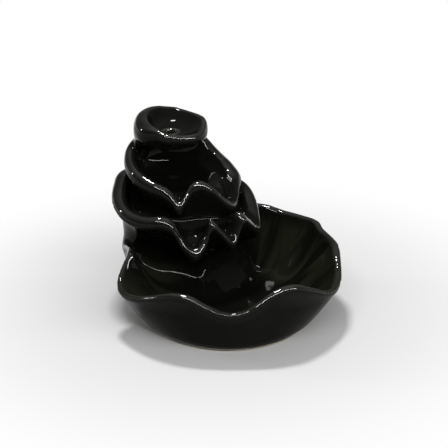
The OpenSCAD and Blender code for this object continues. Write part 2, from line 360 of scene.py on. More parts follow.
def finer(rings, hard=()):
    """More rings on a smooth curve through the given ones; straight at hard spans."""
    m = len(rings)
    out = []
    for j in range(m - 1):
        p1, p2 = rings[j], rings[j + 1]
        if j in hard:
            for q in range(FINE_STEPS):
                out.append(p1 + (p2 - p1) * q / FINE_STEPS)
            continue
        p0 = rings[j - 1] if j and j - 1 not in hard else 2 * p1 - p2
        p3 = rings[j + 2] if j + 2 < m and j + 1 not in hard else 2 * p2 - p1
        t0 = np.zeros((len(p0), 1))
        t1 = t0 + reach(p0, p1)
        t2 = t1 + reach(p1, p2)
        t3 = t2 + reach(p2, p3)
        for q in range(FINE_STEPS):
            t = t1 + (t2 - t1) * q / FINE_STEPS
            middle = between(t, t1, t2, p1, p2)
            before = between(t, t0, t2, between(t, t0, t1, p0, p1), middle)
            after = between(t, t1, t3, middle, between(t, t2, t3, p2, p3))
            out.append(between(t, t1, t2, before, after))
    out.append(rings[-1])
    return np.array(out)


def skin(rings):
    """Points and faces of a closed skin, capped at the first and last ring."""
    m, n, _ = rings.shape
    points = np.vstack([rings.reshape(-1, 3), rings[0].mean(0), rings[-1].mean(0)])
    k = np.arange(n)
    b = (k + 1) % n
    quads = np.vstack([
        np.column_stack([j * n + k, j * n + b, (j + 1) * n + b, (j + 1) * n + k])
        for j in range(m - 1)
    ])
    last = (m - 1) * n
    caps = [(int(b[i]), int(i), m * n) for i in k]
    caps += [(last + int(i), last + int(b[i]), m * n + 1) for i in k]
    return points, [tuple(int(x) for x in q) for q in quads] + caps


# The three skins that are joined into the body

def dish_rings(n):
    """From the recess in the foot, up outside, over the rim and down to the dish floor."""
    a = angles(n)
    rim = samples(DISH_RIM, n)
    at, half, far = FOOT_REACH
    foot = ring(FOOT_R + far * near(a, at, 0, half), 0.0)
    fold = sum(size * near(a, at, 0, half) for at, half, size in DISH_FOLDS)
    rings = [
        level(FOOT_R - FOOT_LAND - RECESS_SLOPE, FOOT_RECESS, n),
        move(foot, -FOOT_LAND, 0),
        move(foot, -FOOT_ROUND_IN, 0),
        move(foot, 0, FOOT_ROUND_UP),
    ]
    for s in DISH_OUTSIDE:
        rings.append(ring(
            foot[:, 0] + (rim[:, 0] + LIP_R - WALL_TUCK - foot[:, 0]) * s**BOW_OUTSIDE,
            (rim[:, 1] - LIP_R) * s,
        ))
    rings += [
        move(rim, LIP_R, -LIP_R),
        move(rim, LIP_R * ROLL_OUT, -LIP_R * ROLL_DOWN),
        rim,
        move(rim, -LIP_R * ROLL_OUT, -LIP_R * ROLL_DOWN),
        move(rim, -LIP_R, -LIP_R),
    ]
    for s in DISH_INSIDE:
        f = FOLD_H * fold * math.sin(math.pi * min(1, s + FOLD_START))
        rings.append(ring(
            DISH_FLOOR_R + (rim[:, 0] - WALL_T / 2 - DISH_FLOOR_R) * s**BOW_INSIDE_R - f,
            DISH_FLOOR_Z + (rim[:, 1] - LIP_R - DISH_FLOOR_Z) * s**BOW_INSIDE_Z
            + FOLD_RISE * f,
        ))
    rings.append(level(DISH_FLOOR_R - FLAT_WITHIN, DISH_FLOOR_Z, n))
    return place(rings, DISH_C)


def hill_rings(n):
    """From under the dish floor up the flank, over the lower lip, then over the upper."""
    a = angles(n)
    low, flank = samples(ROOT, n), samples(WAIST, n)
    lip_2, floor_2 = samples(LOWER_LIP, n), samples(POOL_2, n)
    wall_1, lip_1 = samples(TIER_1_WALL, n), samples(UPPER_LIP, n)
    in_2 = shift(lip_2, -LIP_R, -LIP_R * 0.7, 1.2)
    in_1 = move(lip_1, -LIP_R, -LIP_R * 0.8)
    floor_1 = ring(lip_1[:, 0] - 8 + share(n), POOL_1_Z)
    # The root spreads over the dish floor in front only
    f = near(a, 295, 55, 105)
    r, z = low[:, 0], low[:, 1]
    spread = [
        ring(r + out + front * f, z + up + rise * f) for out, front, up, rise in ROOT_SPREAD
    ]
    # Broad shoulders outside the crests, left and right
    out_1 = 0.5 + 5.5 * near(a, 32, 20, 50) + 0.8 * near(a, 185, 30, 70)
    out_2 = 1.6 + 1.9 * near(a, 5, 20, 55) + 2.1 * near(a, 172, 20, 50)
    over = wider(shift(lip_1, -0.6, -7, -8), out_1, 1.25, -0.4)
    return place([
        ring(r - 9 + 26 * f, 8.0),
        *spread,
        low,
        flank,
        *(wider(shift(lip_2, *step[:3]), out_2, *step[3:]) for step in LOWER_ROLL),
        lip_2,
        shift(lip_2, -LIP_R * ROLL_OUT, -LIP_R * 0.2, 0.6),
        in_2,
        pour(in_2, floor_2, 0.3, POUR_2),
        pour(in_2, floor_2, 0.65, POUR_2),
        floor_2,
        floor_2 * 0.4 + wall_1 * 0.6,
        wall_1,
        wall_1 * 0.45 + over * 0.55,
        wider(shift(lip_1, LIP_R - 0.5, -LIP_R * 2.2, -5), out_1, 0.9, -0.35),
        wider(move(lip_1, LIP_R, -LIP_R), out_1, 0.55, -0.2),
        wider(move(lip_1, LIP_R * ROLL_OUT, -LIP_R * ROLL_DOWN), out_1, 0.12, -0.06),
        lip_1,
        move(lip_1, -LIP_R * ROLL_OUT, -LIP_R * 0.25),
        in_1,
        pour(in_1, floor_1, 0.25, POUR_1),
        pour(in_1, floor_1, 0.6, POUR_1),
        floor_1,
    ], HILL_C)


def cup_rings(n):
    """From the underside up outside, over the rim and down to the seat for the cone."""
    a = angles(n)
    rim = samples(CUP_RIM, n)
    # The back and left of the underside reach down into the wall of the hill
    hold = ease(80, 130, apart(a, 290))
    # The wall is low in front, and leans out at the left
    front = near(a, 285, 30, 75)
    left = 3.2 * near(a, 172, 35, 80)
    belly = wider(wider(rim, 1 - front, 0.3, -3), left, 1, 0) + [CUP_LIP_R, -3]
    under = ring(
        belly[:, 0] - 4 + 2 * hold + front,
        CUP_UNDER_Z + 1.2 - 7 * hold + 2.6 * front,
    )
    side = ring(
        belly[:, 0] - 1 + 0.6 * hold,
        under[:, 1] + 0.42 * (belly[:, 1] - under[:, 1]),
    )
    in_rim = move(rim, -CUP_LIP_R, -CUP_LIP_R)
    half_out, half_down = CUP_LIP_R * ROLL_OUT, CUP_LIP_R * ROLL_DOWN
    seat = level(SEAT_R, SEAT_Z, n)
    return place([
        level(SEAT_R - 1, CUP_UNDER_Z, n),
        ring(10.5, CUP_UNDER_Z - 3 * hold),
        under,
        side,
        belly,
        wider(move(rim, CUP_LIP_R, -CUP_LIP_R), left, 0.85, -0.25),
        wider(move(rim, half_out, -half_down), left, 0.55, -0.12),
        rim,
        move(rim, -half_out, -half_down),
        in_rim,
        pour(in_rim, seat, 0.3, POUR_CUP),
        pour(in_rim, seat, 0.62, POUR_CUP),
        seat,
    ], CUP_C)


# What is cut out of the body

def turned(profile, c, n):
    """Points and faces of a closed turned form; profile is (radius, height)."""
    a = np.radians(angles(n))
    out = np.array([
        np.column_stack([r * np.cos(a), r * np.sin(a), np.full(n, float(z))])
        for r, z in ((max(r, 1e-3), z) for r, z in profile)
    ])
    return skin(out + spot(c))


def hollow_cut():
    """The cast hollow: upright at the foot, then a dome."""
    rise = HOLLOW_TOP - HOLLOW_SIDE
    dome = [
        (HOLLOW_R * math.sqrt(1 - u**HOLLOW_BOW), HOLLOW_SIDE + rise * u)
        for u in np.linspace(0, 1, DOME_RINGS)
    ]
    profile = [(HOLLOW_R, -PAST_FOOT)] + dome
    return mesh_object("cut_hollow", [turned(profile, HOLLOW_C, HOLLOW_STEPS)])


def hole_cut():
    """The smoke hole, straight through the cup floor."""
    profile = [(HOLE_R, CUP_UNDER_Z - PAST_CUP), (HOLE_R, SEAT_Z + PAST_SEAT)]
    return mesh_object("cut_hole", [turned(profile, CUP_C, HOLE_STEPS)])


# Meshes

def linked(name, data):
    """A new object in the scene, at the origin."""
    obj = bpy.data.objects.new(name, data)
    bpy.context.scene.collection.objects.link(obj)
    return obj


def mesh_object(name, parts):
    """One object from several lists of points in millimetres and faces."""
    points, faces, base = [], [], 0
    for p, f in parts:
        points.append(p)
        faces += [tuple(i + base for i in q) for q in f]
        base += len(p)
    mesh = bpy.data.meshes.new(name)
    mesh.from_pydata((np.vstack(points) * MM).tolist(), [], faces)
    mesh.validate()
    return linked(name, mesh)


def apply_modifiers(obj):
    """Turns what the modifiers make into the object's own plain mesh."""
    deps = bpy.context.evaluated_depsgraph_get()
    deps.update()
    mesh = bpy.data.meshes.new_from_object(obj.evaluated_get(deps))
    obj.modifiers.clear()
    old = obj.data
    obj.data = mesh
    bpy.data.meshes.remove(old)


def drop(obj):
    """Removes an object that was only a tool."""
    mesh = obj.data
    bpy.data.objects.remove(obj)
    bpy.data.meshes.remove(mesh)


class Surface:
    """Arrays of a mesh, for smoothing passes."""

    def __init__(self, mesh):
        n = len(mesh.vertices)
        co = np.empty(n * 3, np.float32)
        mesh.vertices.foreach_get("co", co)
        self.v = co.reshape(-1, 3).astype(np.float64) / MM
        e = np.empty(len(mesh.edges) * 2, np.int32)
        mesh.edges.foreach_get("vertices", e)
        self.e = e.reshape(-1, 2)
        mesh.calc_loop_triangles()
        t = np.empty(len(mesh.loop_triangles) * 3, np.int32)
        mesh.loop_triangles.foreach_get("vertices", t)
        self.t = t.reshape(-1, 3)
        self.n = n
        self.count = np.maximum(np.bincount(self.e.ravel(), minlength=n), 1)[:, None]

    def spread(self, x):
        """Mean of the neighbours' values."""
        i, j = self.e[:, 0], self.e[:, 1]
        cols = [
            np.bincount(i, x[j, c], self.n) + np.bincount(j, x[i, c], self.n)
            for c in range(x.shape[1])
        ]
        return np.column_stack(cols) / self.count

    def even(self):
        """One smoothing step and the swelling step after it."""
        for w in EVEN_PAIR:
            self.v += w * (self.spread(self.v) - self.v)

    def normals(self):
        """Direction straight out of the skin at each point."""
        a, b, c = (self.v[self.t[:, q]] for q in range(3))
        fn = np.cross(b - a, c - a)
        out = np.column_stack([
            sum(np.bincount(self.t[:, q], fn[:, d], self.n) for q in range(3))
            for d in range(3)
        ])
        return out / np.maximum(np.linalg.norm(out, axis=1), 1e-12)[:, None]

    def write(self, mesh):
        """Puts the points back into the mesh."""
        mesh.vertices.foreach_set("co", (self.v * MM).astype(np.float32).ravel())
        mesh.update()


def free_to_pool(v):
    """1 where glaze may fill a corner, 0 at the smoke hole, the foot and the hollow."""
    x, y, z = v.T
    hole, hollow = spot(CUP_C), spot(HOLLOW_C)
    r_hole = np.hypot(x - hole[0], y - hole[1])
    r_hollow = np.hypot(x - hollow[0], y - hollow[1])
    past_hole = np.abs(z - HOLE_MIDDLE_Z) > HOLE_HALF_Z
    free = np.where(past_hole, 1.0, ease(*FREE_FROM_HOLE, r_hole))
    past_hollow = (r_hollow > FREE_FROM_HOLLOW_R) | (z > FREE_FROM_HOLLOW_Z)
    return free * (ease(*FREE_FROM_FOOT, z) * past_hollow)


def soften(mesh, rounds, pooling, box):
    """Evens out the skin, then lets inner corners fill as pooled glaze does."""
    s = Surface(mesh)
    for k in range(rounds):
        s.even()
    free = free_to_pool(s.v)
    for k in range(pooling):
        nrm = s.normals()
        d = ((s.spread(s.v) - s.v) * nrm).sum(1)
        fill = np.where(d > 0, d, OUTER_SHARE * d) * free
        s.v += (POOL_STEP * fill)[:, None] * nrm
    for k in range(LAST_ROUNDS):
        s.even()
    s.v[s.v[:, 2] < FOOT_FLAT, 2] = 0.0
    lo, hi = (np.array(b) / MM for b in box)
    s.v = np.clip(s.v, lo, hi)
    s.write(mesh)
    # How sharply the skin turns outwards, for the thin glaze with its painted sheen on edges
    nrm = s.normals()
    bend = -((s.spread(s.v) - s.v) * nrm).sum(1)[:, None]
    for k in range(BEND_ROUNDS):
        bend = s.spread(bend)
    edge = np.clip(bend[:, 0] / FULL_BEND, -1, 1)
    layer = mesh.attributes.new("edge", "FLOAT", "POINT")
    layer.data.foreach_set("value", edge.astype(np.float32))


# Node trees

class Board:
    """A node tree, filled from empty. Inputs take a value or another node's output."""

    def __init__(self, tree):
        tree.nodes.clear()
        self.tree = tree

    def add(self, kind, at, inputs=None, **settings):
        """A node at a place on the board."""
        node = self.tree.nodes.new(kind)
        node.location = at
        for key, value in settings.items():
            setattr(node, key, value)
        for key, value in (inputs or {}).items():
            if isinstance(value, bpy.types.NodeSocket):
                self.tree.links.new(value, node.inputs[key])
            else:
                node.inputs[key].default_value = value
        return node

    def maths(self, operation, at, *values, **settings):
        """Sum, product or comparison of numbers."""
        inputs = dict(enumerate(values))
        return self.add("ShaderNodeMath", at, inputs, operation=operation, **settings).outputs[0]

    def arrow(self, operation, at, *values):
        """Sum or product of vectors, or the length of one."""
        inputs = dict(enumerate(values))
        node = self.add("ShaderNodeVectorMath", at, inputs, operation=operation)
        return node.outputs["Value" if operation == "LENGTH" else "Vector"]

    def xyz(self, at, vector):
        """The three numbers of a vector, by name."""
        return self.add("ShaderNodeSeparateXYZ", at, {0: vector}).outputs

    def ramp(self, at, value, start, end, low=0.0, high=1.0, kind="SMOOTHSTEP"):
        """From low to high while the value goes from start to end."""
        inputs = {"Value": value, "From Min": start, "From Max": end, "To Min": low, "To Max": high}
        return self.add("ShaderNodeMapRange", at, inputs, interpolation_type=kind).outputs["Result"]

    def noise(self, at, vector, scale, detail=2.0, distortion=0.0):
        """Cloudy pattern round one half."""
        inputs = {"Vector": vector, "Scale": scale, "Detail": detail, "Distortion": distortion}
        return self.add("ShaderNodeTexNoise", at, inputs).outputs["Fac"]

    def mix(self, at, factor, a, b, kind="RGBA"):
        """From a to b, as colours or as numbers."""
        inputs = {"Factor": factor, "A": a, "B": b}
        return self.add("ShaderNodeMix", at, inputs, data_type=kind).outputs["Result"]


def opaque(colour):
    """A colour with its fourth number."""
    return (*colour, 1)


def group_board(name, numbers, outputs):
    """An empty node group on a Vector and some numbers, and its board."""
    group = bpy.data.node_groups.new(name, "ShaderNodeTree")
    sockets = group.interface
    sockets.new_socket("Vector", in_out="INPUT", socket_type="NodeSocketVector")
    for label, value in numbers.items():
        socket = sockets.new_socket(label, in_out="INPUT", socket_type="NodeSocketFloat")
        socket.default_value = value
    for label in outputs:
        sockets.new_socket(label, in_out="OUTPUT", socket_type="NodeSocketFloat")
    return group, Board(group)


def material_board(name):
    """An empty material and its board."""
    mat = bpy.data.materials.new(name)
    mat.use_nodes = True
    return mat, Board(mat.node_tree)


# Fine dimples and pinholes of the glaze, in cells to the metre
PEEL_SCALE = 900.0
PIT_SCALE = 160.0
# Share of the cells without a pinhole, its inner and outer radius in cells, and its depth
# in metres
PIT_RARE = 0.93
PIT_EDGE = (0.02, 0.05)
PIT_DEPTH = 0.00006


def glaze_skin_group():
    """Height of the small waves and pinholes in a fired glaze."""
    numbers = {"Wave size": 0.012, "Wave height": 0.00012, "Peel height": 0.00001}
    group, board = group_board("Glaze skin", numbers, ("Height", "Pits"))
    given = board.add("NodeGroupInput", (-900, 0)).outputs
    where = given["Vector"]
    wave_scale = board.maths("DIVIDE", (-700, -60), 1.0, given["Wave size"])
    wave = board.noise((-500, 60), where, wave_scale, detail=1.5)
    wave = board.maths("MULTIPLY", (-250, 60), wave, given["Wave height"])
    peel = board.noise((-500, -160), where, PEEL_SCALE, detail=1.0)
    peel = board.maths("MULTIPLY", (-250, -160), peel, given["Peel height"])
    cells = board.add("ShaderNodeTexVoronoi", (-500, -380), {
        "Vector": where, "Scale": PIT_SCALE}).outputs
    chance = board.add("ShaderNodeSeparateColor", (-400, -520), {0: cells["Color"]}).outputs[0]
    rare = board.maths("GREATER_THAN", (-250, -480), chance, PIT_RARE)
    dot = board.ramp((-250, -320), cells["Distance"], *PIT_EDGE, 1.0, 0.0, kind="LINEAR")
    pits = board.maths("MULTIPLY", (0, -380), dot, rare)
    height = board.maths("ADD", (100, 0), wave, peel)
    height = board.maths("MULTIPLY_ADD", (300, -60), pits, -PIT_DEPTH, height)
    board.add("NodeGroupOutput", (700, 0), {"Height": height, "Pits": pits})
    return group


# Streaks, partly glaze runs and partly a painted sheen on the dish floor: how fast they change
# along thEIR way, the noise that counts as a streak, the heights between which they fade out, and
# the distances from the middle where they begin, in metres
RUN_CHANGE = 28.0
RUN_NOISE = (0.42, 0.60)
RUN_HEIGHT = (0.036, 0.028)
RUN_START = (0.018, 0.034)


def runs_and_sheen_group():
    """Streaks that the molten glaze drew down the dish towards its middle, also a painted sheen on
    the dish floor.
    """
    group, board = group_board("Glaze runs and sheen", {"Streaks": 5.0}, ("Run and sheen",))
    given = board.add("NodeGroupInput", (-1100, 0)).outputs
    height = board.xyz((-900, 0), given["Vector"])["Z"]
    flat = board.arrow("MULTIPLY", (-900, -200), given["Vector"], (1.0, 1.0, 0.0))
    far = board.arrow("LENGTH", (-700, -200), flat)
    heading = board.arrow("NORMALIZE", (-700, -380), flat)
    wide = board.add("ShaderNodeVectorMath", (-500, -380), {
        0: heading, "Scale": given["Streaks"]}, operation="SCALE").outputs[0]
    along = board.maths("MULTIPLY", (-500, -200), far, RUN_CHANGE)
    split = board.xyz((-300, -380), wide)
    where = board.add("ShaderNodeCombineXYZ", (-100, -300), {
        "X": split["X"], "Y": split["Y"], "Z": along}).outputs[0]
    noise = board.noise((100, -300), where, 1.0, detail=3.0, distortion=0.4)
    streak = board.ramp((300, -300), noise, *RUN_NOISE)
    low = board.ramp((100, 60), height, *RUN_HEIGHT)
    off_middle = board.ramp((300, -560), far, *RUN_START)
    run_and_sheen = board.maths("MULTIPLY", (450, 0), streak, low)
    run_and_sheen = board.maths("MULTIPLY", (600, 0), run_and_sheen, off_middle)
    board.add("NodeGroupOutput", (800, 0), {"Run and sheen": run_and_sheen})
    return group


# Ragged line at the foot: cells to the metre, and how far it rises, in metres
RAGGED_SCALE = 260.0
RAGGED_RISE = 0.0009
# Bare places above that line: middle, then radius and height in metres
WIPED = ((HOLLOW_C, 0.0142, 0.034), (DISH_C, 0.036, 0.0060))


def bare_clay_group():
    """1 where the glaze was wiped off: the foot, its recess and the hollow."""
    group, board = group_board("Bare clay", {"Line height": 0.0011}, ("Mask",))
    given = board.add("NodeGroupInput", (-1100, 0)).outputs
    where = given["Vector"]
    height = board.xyz((-900, 0), where)["Z"]
    ragged = board.noise((-900, -220), where, RAGGED_SCALE)
    line = board.maths("MULTIPLY_ADD", (-650, -160), ragged, RAGGED_RISE, given["Line height"])
    mask = board.maths("LESS_THAN", (-450, 0), height, line)
    for k, (middle, radius, top) in enumerate(WIPED):
        x, y, _ = spot(middle) * MM
        row = -620 - 200 * k
        off = board.arrow("SUBTRACT", (-900, row), where, (x, y, 0.0))
        flat = board.arrow("MULTIPLY", (-700, row), off, (1.0, 1.0, 0.0))
        far = board.arrow("LENGTH", (-500, row), flat)
        inside = board.maths("LESS_THAN", (-300, row), far, radius)
        under = board.maths("LESS_THAN", (-300, row - 100), height, top)
        wiped = board.maths("MULTIPLY", (-100, row), inside, under)
        mask = board.maths("MAXIMUM", (150 + 200 * k, -200), mask, wiped)
    board.add("NodeGroupOutput", (600, 0), {"Mask": mask})
    return group


# Materials

# Size of the clouds in the glaze and of the grain in the clay, in cells to the metre
CLOUD_SCALE = 45.0
GRAIN_SCALE = 700.0
# Cloud noise at which the glaze is smoothest and least smooth
CLOUD_RANGE = (0.3, 0.7)
# Roughness and height of the bare clay's grain, and the roughness that a pinhole adds
CLAY_ROUGHNESS = 0.86
GRAIN_HEIGHT = 0.00025
PIT_ROUGHNESS = 0.3
# Bends over which the glaze runs thin and paler, partly a painted sheen on the crests, and over
# which the clear glass grows
THIN_AND_SHEEN_EDGE = (0.25, 1.0)
GLASS_EDGE = (0.15, 0.6)
# How far the skin has to look up for the glass, and for its thin film: 1 is straight up
LOOKS_UP = (0.1, 0.5)
LOOKS_OUT = (-0.35, 0.5)
# Heights in metres between which the dish rim's share of glass becomes that of the lips
RIM_TO_LIPS = (0.026, 0.040)


def glaze_colour(board, look, where, edge, cloud, upward):
    """Clouds, paler streaks in the dish that are partly glaze runs and partly a painted sheen where
    the skin looks up, and paler thin glaze over edges that is partly a painted sheen on the crests.
    """
    tone = board.mix((-450, -60), cloud, opaque(look.glaze_deep), opaque(look.glaze_cloud))
    runs = board.add("ShaderNodeGroup", (-900, -640), {
        "Streaks": look.streaks, "Vector": where}, node_tree=runs_and_sheen_group())
    # The streaks are drawn paler only where the skin looks up: a painted sheen of light on the dish
    # floor over the glaze runs
    run_and_sheen = board.maths("MULTIPLY", (-650, -700), runs.outputs["Run and sheen"], upward)
    streaked = board.mix((-320, -60), run_and_sheen, tone, opaque(look.glaze_run_and_sheen))
    # Paler over convex edges: partly thin glaze, partly a painted sheen along the crests
    thin = board.ramp((-650, 100), edge, *THIN_AND_SHEEN_EDGE, kind="LINEAR")
    return board.mix((-200, 0), thin, streaked, opaque(look.thin_glaze_and_sheen))


def glass_weight(board, look, where, edge, facing, upward):
    """Share of clear glass: thickest on hard bends that look up, a film elsewhere."""
    bent = board.maths("ABSOLUTE", (-650, -760), edge)
    glass = board.ramp((-450, -760), bent, *GLASS_EDGE, high=look.glass_share, kind="LINEAR")
    both = board.maths("MULTIPLY", (-200, -820), glass, upward)
    # The dish rim holds less of it than the lips do
    height = board.xyz((-900, -1200), where)["Z"]
    rim = board.ramp((-450, -1360), height, *RIM_TO_LIPS, low=look.glass_rim)
    lips = board.maths("MULTIPLY", (-100, -1000), both, rim)
    # A thin even film of it covers what doesn't look down
    film = board.ramp((-450, -1160), facing, *LOOKS_OUT, high=look.glass_film)
    return board.maths("MAXIMUM", (100, -900), lips, film)


def glaze_material(look):
    """Black glaze with bare clay where it was wiped off."""
    mat, board = material_board("Black glaze")
    given = board.add("ShaderNodeTexCoord", (-1300, 0)).outputs
    where = given["Object"]
    bare = board.add("ShaderNodeGroup", (-900, 300), {
        "Vector": where}, node_tree=bare_clay_group()).outputs["Mask"]
    edge = board.add("ShaderNodeAttribute", (-900, 100), attribute_name="edge").outputs["Fac"]
    facing = board.xyz((-900, -900), given["Normal"])["Z"]
    upward = board.ramp((-650, -960), facing, *LOOKS_UP)
    cloud = board.noise((-900, -120), where, CLOUD_SCALE, detail=4.0)
    grain = board.noise((-650, 480), where, GRAIN_SCALE, detail=6.0)
    waves = board.add("ShaderNodeGroup", (-900, -400), {
        "Wave size": look.wave_size, "Wave height": look.wave_height,
        "Peel height": look.peel_height, "Vector": where,
    }, node_tree=glaze_skin_group()).outputs

    glaze = glaze_colour(board, look, where, edge, cloud, upward)
    clay = board.mix((-400, 440), grain, opaque(look.clay_dark), opaque(look.clay_pale))
    colour = board.mix((100, 200), bare, glaze, clay)

    rough = board.ramp((-450, -300), cloud, *CLOUD_RANGE, look.gloss_low, look.gloss_high,
                       "LINEAR")
    rough = board.maths("MULTIPLY_ADD", (-200, -320), waves["Pits"], PIT_ROUGHNESS, rough)
    rough = board.mix((100, -200), bare, rough, CLAY_ROUGHNESS, "FLOAT")

    grit = board.maths("MULTIPLY", (-350, -620), grain, GRAIN_HEIGHT)
    height = board.mix((-100, -560), bare, waves["Height"], grit, "FLOAT")
    bump = board.add("ShaderNodeBump", (200, -500), {
        "Strength": 1.0, "Distance": 1.0, "Height": height}).outputs["Normal"]

    shader = board.add("ShaderNodeBsdfPrincipled", (600, 0), {
        "Base Color": colour,
        "Roughness": rough,
        "Normal": bump,
        "IOR": look.ior,
        "Coat Weight": glass_weight(board, look, where, edge, facing, upward),
        "Coat IOR": look.glass_ior,
        "Coat Roughness": look.gloss_low,
    })
    board.add("ShaderNodeOutputMaterial", (900, 0), {0: shader.outputs[0]})
    return mat


def seen_white(board, at, path):
    """1 for what the camera sees, straight or through glass."""
    return board.maths("ADD", at, path["Is Camera Ray"], path["Is Transmission Ray"],
                       use_clamp=True)


def floor_material(setting):
    """Pale floor that takes the shadow near the object and turns plain white far off."""
    mat, board = material_board("Pale floor")
    where = board.add("ShaderNodeTexCoord", (-900, 0)).outputs["Object"]
    far = board.arrow("LENGTH", (-700, 0), where)
    far = board.ramp((-500, 0), far, setting.floor_fade_start, setting.floor_fade_end,
                     setting.floor_white)
    path = board.add("ShaderNodeLightPath", (-900, -300)).outputs
    seen = seen_white(board, (-500, -300), path)
    seen = board.maths("MULTIPLY_ADD", (-300, -420), path["Is Glossy Ray"],
                       setting.floor_in_gloss, seen, use_clamp=True)
    white_share = board.maths("MULTIPLY", (-100, -300), far, seen)
    plain = board.add("ShaderNodeBsdfDiffuse", (-100, 100), {
        "Color": opaque(setting.floor_tone)}).outputs[0]
    white = board.add("ShaderNodeEmission", (-100, -100), {
        "Color": (1, 1, 1, 1), "Strength": 1.0}).outputs[0]
    mix = board.add("ShaderNodeMixShader", (300, 0), {0: white_share, 1: plain, 2: white})
    board.add("ShaderNodeOutputMaterial", (600, 0), {0: mix.outputs[0]})
    return mat


def studio_world(setting):
    """A dark room in front, a paler backdrop and ceiling, and white to the camera."""
    world = bpy.data.worlds.new("Studio")
    world.use_nodes = True
    board = Board(world.node_tree)
    way = board.add("ShaderNodeTexCoord", (-900, 0)).outputs["Generated"]
    way = board.xyz((-700, 0), way)
    behind = board.ramp((-450, 60), way["Y"], setting.room_dark_to, setting.room_pale_from)
    room = board.mix((-150, 60), behind, opaque(setting.room_front), opaque(setting.room_back))
    above = board.ramp((-450, 260), way["Z"], setting.room_top_from, 1.0)
    glow = board.mix((20, 160), above, room, opaque(setting.room_top))
    path = board.add("ShaderNodeLightPath", (-450, -250)).outputs
    seen = seen_white(board, (-150, -250), path)
    colour = board.mix((200, 0), seen, glow, (1, 1, 1, 1))
    back = board.add("ShaderNodeBackground", (350, 0), {"Color": colour})
    board.add("ShaderNodeOutputWorld", (600, 0), {0: back.outputs[0]})
    return world


# Sizes and colours that a user would change

class BurnerForm(bpy.types.PropertyGroup):
    """How finely the body is built"""
    steps_round: bpy.props.IntProperty(
        name="Steps round", description="Points on each closed curve of the hill",
        default=288, min=96, max=600)
    grain: bpy.props.FloatProperty(
        name="Skin grain", description="Size of the squares in the joined skin",
        default=0.00085, unit="LENGTH", precision=5)
    sliver: bpy.props.FloatProperty(
        name="Sliver", description="Points of the skin closer than this are joined",
        default=0.00012, unit="LENGTH", precision=5)
    rounds: bpy.props.IntProperty(
        name="Evening rounds", description="Passes that even out the skin", default=5)
    pooling: bpy.props.IntProperty(
        name="Pooling rounds", description="Passes that fill the inner corners", default=36)


class GlazeLook(bpy.types.PropertyGroup):
    """Colours and gloss of the glaze and the clay"""
    glaze_deep: bpy.props.FloatVectorProperty(
        name="Deep glaze", description="Colour where the glaze is thick",
        default=(0.0040, 0.0041, 0.0034), subtype="COLOR")
    glaze_cloud: bpy.props.FloatVectorProperty(
        name="Clouded glaze", description="Colour of the faint clouds in the glaze",
        default=(0.0070, 0.0072, 0.0056), subtype="COLOR")
    # Paler streaks in the dish: partly glaze runs, partly a painted sheen on the upward-facing dish
    # floor
    glaze_run_and_sheen: bpy.props.FloatVectorProperty(
        name="Glaze runs and sheen", description="Colour of the streaks in the dish",
        default=(0.0150, 0.0150, 0.0105), subtype="COLOR")
    streaks: bpy.props.FloatProperty(
        name="Streaks", description="How close together the streaks lie", default=5.0)
    # Paler colour on edges: partly thin glaze, partly a painted sheen along the crests
    thin_glaze_and_sheen: bpy.props.FloatVectorProperty(
        name="Thin glaze", description="Colour where the glaze runs thin over an edge",
        default=(0.016, 0.0155, 0.0125), subtype="COLOR")
    clay_dark: bpy.props.FloatVectorProperty(
        name="Clay, dark grain", description="Darker grain of the bare clay",
        default=(0.30, 0.25, 0.20), subtype="COLOR")
    clay_pale: bpy.props.FloatVectorProperty(
        name="Clay, pale grain", description="Paler grain of the bare clay",
        default=(0.56, 0.50, 0.42), subtype="COLOR")
    gloss_low: bpy.props.FloatProperty(
        name="Smoothest", description="Lowest roughness of the glaze", default=0.03)
    gloss_high: bpy.props.FloatProperty(
        name="Least smooth", description="Highest roughness of the glaze", default=0.07)
    ior: bpy.props.FloatProperty(
        name="Index of refraction", description="How strongly the glaze bends light",
        default=1.12)
    glass_share: bpy.props.FloatProperty(
        name="Glass on bends", description="Share of clear glass over sharp bends",
        default=1.0)
    glass_rim: bpy.props.FloatProperty(
        name="Glass on the rim", description="Share of that glass that the dish rim keeps",
        default=0.4)
    glass_film: bpy.props.FloatProperty(
        name="Glass film", description="Share of clear glass on even skin that doesn't look down",
        default=0.06)
    glass_ior: bpy.props.FloatProperty(
        name="Index of the glass", description="How strongly the clear glass bends light",
        default=2.0)
    wave_size: bpy.props.FloatProperty(
        name="Wave size", description="Length of the waves in the glaze",
        default=0.011, unit="LENGTH")
    wave_height: bpy.props.FloatProperty(
        name="Wave height", description="Height of the waves in the glaze",
        default=0.00005, precision=5, unit="LENGTH")
    peel_height: bpy.props.FloatProperty(
        name="Peel height", description="Height of the fine dimples in the glaze",
        default=0.000008, precision=6, unit="LENGTH")


